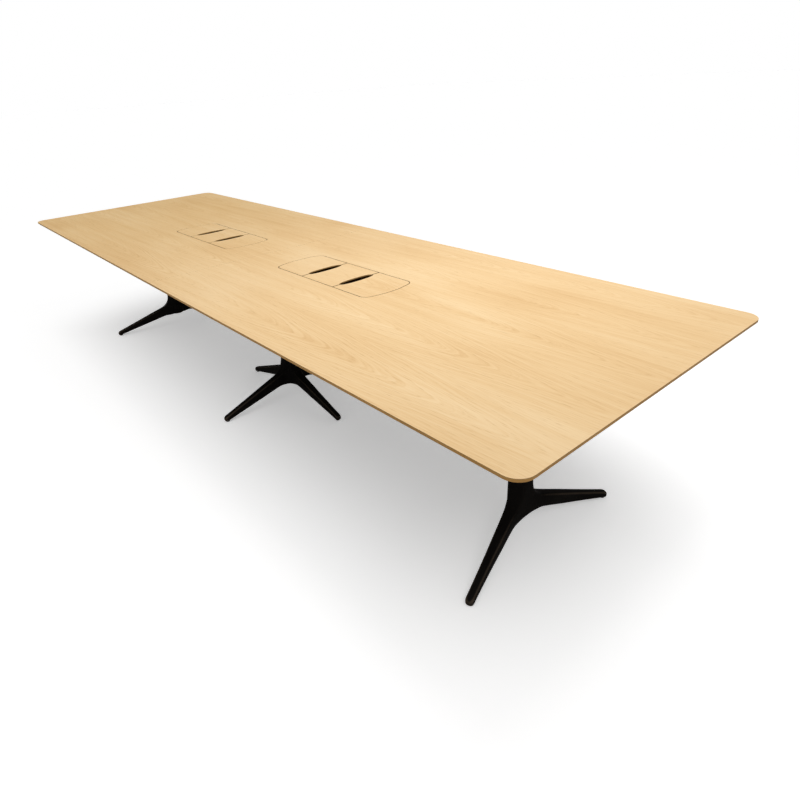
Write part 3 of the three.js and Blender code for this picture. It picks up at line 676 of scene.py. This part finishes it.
def makeCasting(side, legAngles, web):
    low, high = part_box(f"column_{side}")
    x = (low.x + high.x) / 2
    bm = bmesh.new()
    addHub(bm, x, legAngles, web)
    for angle in legAngles:
        addLeg(bm, x, angle)
    bmesh.ops.recalc_face_normals(bm, faces=bm.faces)
    rough = pieceFrom(f"rough_foot_{side}", bm, [castBlack])
    remesh = rough.modifiers.new("skin", "REMESH")
    remesh.mode = "VOXEL"
    remesh.voxel_size = casting["voxel"]
    skin = pieceOf(f"skin_{side}", evaluated(rough), [castBlack])
    hub = skin.vertex_groups.new(name="hub")
    for vertex in skin.data.vertices:
        away = math.hypot(vertex.co.x - x, vertex.co.y)
        share = max(0, 1 - away / casting["hubFade"])
        hub.add([vertex.index], min(1, casting["hubHold"] * share), "REPLACE")
    addSmoothing(skin, "fettle", casting["smoothing"])
    addSmoothing(skin, "hub", casting["hubSmoothing"], "hub")
    piece = pieceOf(f"cast_foot_{side}", evaluated(skin), [castBlack], None, casting["smoothAngle"])
    settle(piece, "table", "black_cast", f"base_casting_{side}")


endAngle = casting["endAngle"]
makeCasting("right", [endAngle, -endAngle], casting["endWeb"])
makeCasting("left", [math.pi - endAngle, math.pi + endAngle], casting["endWeb"])
makeCasting("middle", [i * math.pi / 2 for i in range(4)], casting["middleWeb"])
print("cast bases made")


# columns and glides, turned about an upright axis

def addTurned(bm, x, y, profile, facets):
    loops = []
    for radius, height in profile:
        angles = [2 * math.pi * i / facets for i in range(facets)]
        loops.append([Vector((x + radius * math.cos(a), y + radius * math.sin(a), height)) for a in angles])
    addSolid(bm, loops)


column = {"ease": 0.8 * mm, "facets": 64}


def makeColumn(side):
    low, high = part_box(f"column_{side}")
    radius = (high.x - low.x) / 2
    profile = [(radius - column["ease"], low.z), (radius, low.z + column["ease"])]
    profile += [(radius, high.z - column["ease"]), (radius - column["ease"], high.z)]
    bm = bmesh.new()
    addTurned(bm, (low.x + high.x) / 2, 0, profile, column["facets"])
    piece = pieceFrom(f"round_column_{side}", bm, [tubeBlack])
    settle(piece, "table", "black_cast", f"column_{side}")


glide = {"height": 8 * mm, "foot": 6.5 * mm, "edge": 2 * mm, "edgeSteps": 5, "facets": 32}


def makeGlides():
    names = [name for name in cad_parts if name.startswith("glide_")]
    bm = bmesh.new()
    for name in names:
        low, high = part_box(name)
        radius = (high.x - low.x) / 2
        edge = glide["edge"]
        rounded = arc(radius - edge, low.z + edge, edge, -math.pi / 2, 0, glide["edgeSteps"])
        profile = [(glide["foot"] / 2, low.z)] + rounded + [(radius, low.z + glide["height"])]
        addTurned(bm, (low.x + high.x) / 2, (low.y + high.y) / 2, profile, glide["facets"])
    piece = pieceFrom("floor_glides", bm, [nylonBlack])
    settle(piece, "table", "glide_plastic", *names)


for side in ("right", "left", "middle"):
    makeColumn(side)
makeGlides()
print("columns and glides made")


# steelwork under the top: the frame's own shapes with eased edges

steelwork = {"ease": 0.6 * mm, "segments": 2, "sharp": math.radians(40), "flat": math.radians(1),
             "merge": 0.005 * mm}


def makeSteelwork(node, name):
    bm = bmesh.new()
    bm.from_mesh(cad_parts[node].data)
    bmesh.ops.remove_doubles(bm, verts=bm.verts, dist=steelwork["merge"])
    bmesh.ops.dissolve_limit(bm, angle_limit=steelwork["flat"], verts=bm.verts, edges=bm.edges)
    sharp = [e for e in bm.edges if e.is_manifold and e.calc_face_angle() > steelwork["sharp"]]
    bmesh.ops.bevel(bm, geom=sharp, offset=steelwork["ease"], segments=steelwork["segments"], profile=0.5,
                    affect="EDGES", clamp_overlap=True)
    piece = pieceFrom(name, bm, [steelBlack])
    settle(piece, "table", "black_steel", node)


steelNames = {"cable_tray": "pressed_tray", "stop_rail": "stop_tube", "ledge": "bridge_ledge",
              "rail": "long_rail", "seam_plate": "joining_plate", "head_plate": "column_head"}
for node in list(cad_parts):
    kind = next((k for k in steelNames if node.startswith(k)), None)
    if kind:
        makeSteelwork(node, node.replace(kind, steelNames[kind], 1))
for node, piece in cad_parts.items():
    if node.startswith("pivot_pin"):
        piece.data.materials[0] = turnedSteel
    if node.startswith("pivot_bush"):
        piece.data.materials[0] = acetal
print("steelwork made")


# screws and bolts that hold the steelwork, heads down

screws = {"headRadius": 4.4 * mm, "headHeight": 2.6 * mm, "socketRadius": 2.0 * mm, "washerRadius": 5.2 * mm,
          "washerHeight": 0.8 * mm, "sides": 18}
bolts = {"headRadius": 7.5 * mm, "headHeight": 5.3 * mm, "socketRadius": 4.6 * mm, "washerRadius": 8.5 * mm,
         "washerHeight": 1.6 * mm, "sides": 6, "spread": 22.5 * mm}
fastener = {"washerSides": 24, "crownShare": 0.82, "socketShare": 0.55}


def fastenerTree():
    tree = bpy.data.node_groups.new("fasteners, heads down", "GeometryNodeTree")
    tree.interface.new_socket("Seats", in_out="INPUT", socket_type="NodeSocketGeometry")
    for name in ("headRadius", "headHeight", "socketRadius", "washerRadius", "washerHeight"):
        tree.interface.new_socket(name, in_out="INPUT", socket_type="NodeSocketFloat")
    tree.interface.new_socket("sides", in_out="INPUT", socket_type="NodeSocketInt")
    tree.interface.new_socket("finish", in_out="INPUT", socket_type="NodeSocketMaterial")
    tree.interface.new_socket("Fasteners", in_out="OUTPUT", socket_type="NodeSocketGeometry")
    given = addNode(tree, "NodeGroupInput").outputs
    washer = addNode(tree, "GeometryNodeMeshCylinder", {
        "Vertices": fastener["washerSides"], "Radius": given["washerRadius"], "Depth": given["washerHeight"]})
    washerLift = addNode(tree, "ShaderNodeMath", {0: given["washerHeight"], 1: 0.5}, operation="MULTIPLY")
    washerPlace = addNode(tree, "ShaderNodeCombineXYZ", {"Z": washerLift})
    washerUp = addNode(tree, "GeometryNodeTransform", {"Geometry": washer, "Translation": washerPlace})

    # the head, with a socket sunk into its crown
    crown = addNode(tree, "ShaderNodeMath", {0: given["headRadius"], 1: fastener["crownShare"]},
                    operation="MULTIPLY")
    head = addNode(tree, "GeometryNodeMeshCone", {
        "Vertices": given["sides"], "Radius Top": crown, "Radius Bottom": given["headRadius"],
        "Depth": given["headHeight"]})
    rim = addNode(tree, "GeometryNodeExtrudeMesh", {
        "Mesh": head, "Selection": head.outputs["Top"], "Offset Scale": 0.0}, mode="FACES")
    shrink = addNode(tree, "ShaderNodeMath", {0: given["socketRadius"], 1: crown}, operation="DIVIDE")
    mouth = addNode(tree, "GeometryNodeScaleElements", {
        "Geometry": rim, "Selection": rim.outputs["Top"], "Scale": shrink}, domain="FACE")
    depth = addNode(tree, "ShaderNodeMath", {0: given["headHeight"], 1: -fastener["socketShare"]},
                    operation="MULTIPLY")
    socket = addNode(tree, "GeometryNodeExtrudeMesh", {
        "Mesh": mouth, "Selection": rim.outputs["Top"], "Offset Scale": depth}, mode="FACES")
    headPlace = addNode(tree, "ShaderNodeCombineXYZ", {"Z": given["washerHeight"]})
    headUp = addNode(tree, "GeometryNodeTransform", {"Geometry": socket, "Translation": headPlace})

    joined = addNode(tree, "GeometryNodeJoinGeometry", {"Geometry": washerUp})
    feed(tree, joined, {"Geometry": headUp})
    spread = addNode(tree, "GeometryNodeInstanceOnPoints", {
        "Points": given["Seats"], "Instance": joined, "Rotation": (math.pi, 0.0, 0.0)})
    solid = addNode(tree, "GeometryNodeRealizeInstances", {"Geometry": spread})
    dressed = addNode(tree, "GeometryNodeSetMaterial", {"Geometry": solid, "Material": given["finish"]})
    addNode(tree, "NodeGroupOutput", {"Fasteners": dressed})
    return tree


def makeFasteners(name, tree, sizes, seats, finish):
    bm = bmesh.new()
    for seat in seats:
        bm.verts.new(seat)
    points = pieceFrom(f"seats_{name}", bm, [])
    modifier = points.modifiers.new("fasteners", "NODES")
    modifier.node_group = tree
    for item in tree.interface.items_tree:
        if item.name in sizes:
            modifier[item.identifier] = sizes[item.name]
        if item.name == "finish":
            modifier[item.identifier] = finish
    piece = pieceOf(name, evaluated(points), [finish])
    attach(piece, "table")


def along(low, high, count, margin):
    return [low + margin + (high - low - 2 * margin) * i / (count - 1) for i in range(count)]


# number of screws in a row and the distance of the first from the end
trayScrews = {"count": 5, "margin": 40 * mm, "flange": 10 * mm, "sheet": 2 * mm, "endSpread": 60 * mm}
railScrews = {"count": 9, "margin": 60 * mm}
plateScrews = {"count": 4, "margin": 15 * mm, "inset": 14 * mm}


def screwSeats():
    seats = []
    for side in ("right", "left"):
        low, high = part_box(f"cable_tray_{side}")
        flange, spread, under = trayScrews["flange"], trayScrews["endSpread"], high.z - trayScrews["sheet"]
        for x in along(low.x, high.x, trayScrews["count"], trayScrews["margin"]):
            seats += [(x, low.y + flange, under), (x, high.y - flange, under)]
        for x in (low.x + flange, high.x - flange):
            seats += [(x, y, under) for y in (-spread, spread)]
    for place in ("rear", "front"):
        low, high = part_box(f"rail_{place}")
        for x in along(low.x, high.x, railScrews["count"], railScrews["margin"]):
            seats.append((x, (low.y + high.y) / 2, low.z))
        low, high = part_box(f"seam_plate_{place}")
        for x in along(low.x, high.x, plateScrews["count"], plateScrews["margin"]):
            seats += [(x, low.y + plateScrews["inset"], low.z), (x, high.y - plateScrews["inset"], low.z)]
    return seats


# two bolts where each rail crosses a head plate
def boltSeats():
    seats = []
    for side in ("right", "left", "middle"):
        low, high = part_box(f"head_plate_{side}")
        x = (low.x + high.x) / 2
        for place in ("rear", "front"):
            railLow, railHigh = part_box(f"rail_{place}")
            y = (railLow.y + railHigh.y) / 2
            seats += [(x + dx, y, low.z) for dx in (-bolts["spread"], bolts["spread"])]
    return seats


fasteners = fastenerTree()
makeFasteners("frame_screws", fasteners, screws, screwSeats(), zincSteel)
makeFasteners("head_bolts", fasteners, bolts, boltSeats(), zincSteel)
print("screws and bolts made")


# floor, light and background

studio = {"floorHalf": 60.0, "floor": "#f8f8f8", "floorRoughness": 0.9, "floorGlow": 0.365, "ambient": 0.25,
          "backdrop": 1.0}


# 1 for a ray that the eye follows, straight or by a mirror or glass, and 0 for one that only lights
def whiteForView(tree):
    path = addNode(tree, "ShaderNodeLightPath").outputs
    seen = addNode(tree, "ShaderNodeMath", {0: path["Is Camera Ray"], 1: path["Is Glossy Ray"]},
                   operation="MAXIMUM")
    return addNode(tree, "ShaderNodeMath", {0: seen, 1: path["Is Transmission Ray"]}, operation="MAXIMUM")


def makeFloor():
    half = studio["floorHalf"]
    bm = bmesh.new()
    corners = [(-half, -half), (half, -half), (half, half), (-half, half)]
    bm.faces.new([bm.verts.new((x, y, 0.0)) for x, y in corners])
    material, tree, shader = newMaterial("studio floor")
    glow = addNode(tree, "ShaderNodeMath", {0: whiteForView(tree), 1: studio["floorGlow"]},
                   operation="MULTIPLY")
    feed(tree, shader, {
        "Base Color": linear(studio["floor"]), "Roughness": studio["floorRoughness"],
        "Specular IOR Level": 0.0, "Emission Color": (1.0, 1.0, 1.0, 1.0), "Emission Strength": glow})
    pieceFrom("floor", bm, [material])


def makeWorld():
    world = bpy.data.worlds.new("studio")
    bpy.context.scene.world = world
    world.use_nodes = True
    tree = world.node_tree
    strength = addNode(tree, "ShaderNodeMapRange", {
        "Value": whiteForView(tree), "To Min": studio["ambient"], "To Max": studio["backdrop"]})
    feed(tree, tree.nodes["Background"], {"Color": (1.0, 1.0, 1.0, 1.0), "Strength": strength})


lamps = [
    {"name": "ceiling", "kind": "AREA", "place": (1.0, 0.35, 2.3), "aim": (1.0, 0.3, 0.7), "size": 1.7,
     "power": 17.5},
    {"name": "sky", "kind": "SUN", "place": (1.2, -1.1, 4.0), "aim": (0.0, 0.0, 0.0), "size": 0.95,
     "power": 1.45},
]


def makeLamp(lamp):
    light = bpy.data.lights.new(lamp["name"], lamp["kind"])
    light.energy = lamp["power"]
    if lamp["kind"] == "SUN":
        light.angle = lamp["size"]
    else:
        light.size = lamp["size"]
    piece = bpy.data.objects.new(lamp["name"], light)
    bpy.context.scene.collection.objects.link(piece)
    piece.location = lamp["place"]
    piece.rotation_mode = "QUATERNION"
    piece.rotation_quaternion = (Vector(lamp["aim"]) - Vector(lamp["place"])).to_track_quat("-Z", "Y")


makeFloor()
makeWorld()
for lamp in lamps:
    makeLamp(lamp)
bpy.context.scene.view_settings.view_transform = "Standard"
print("studio lit")
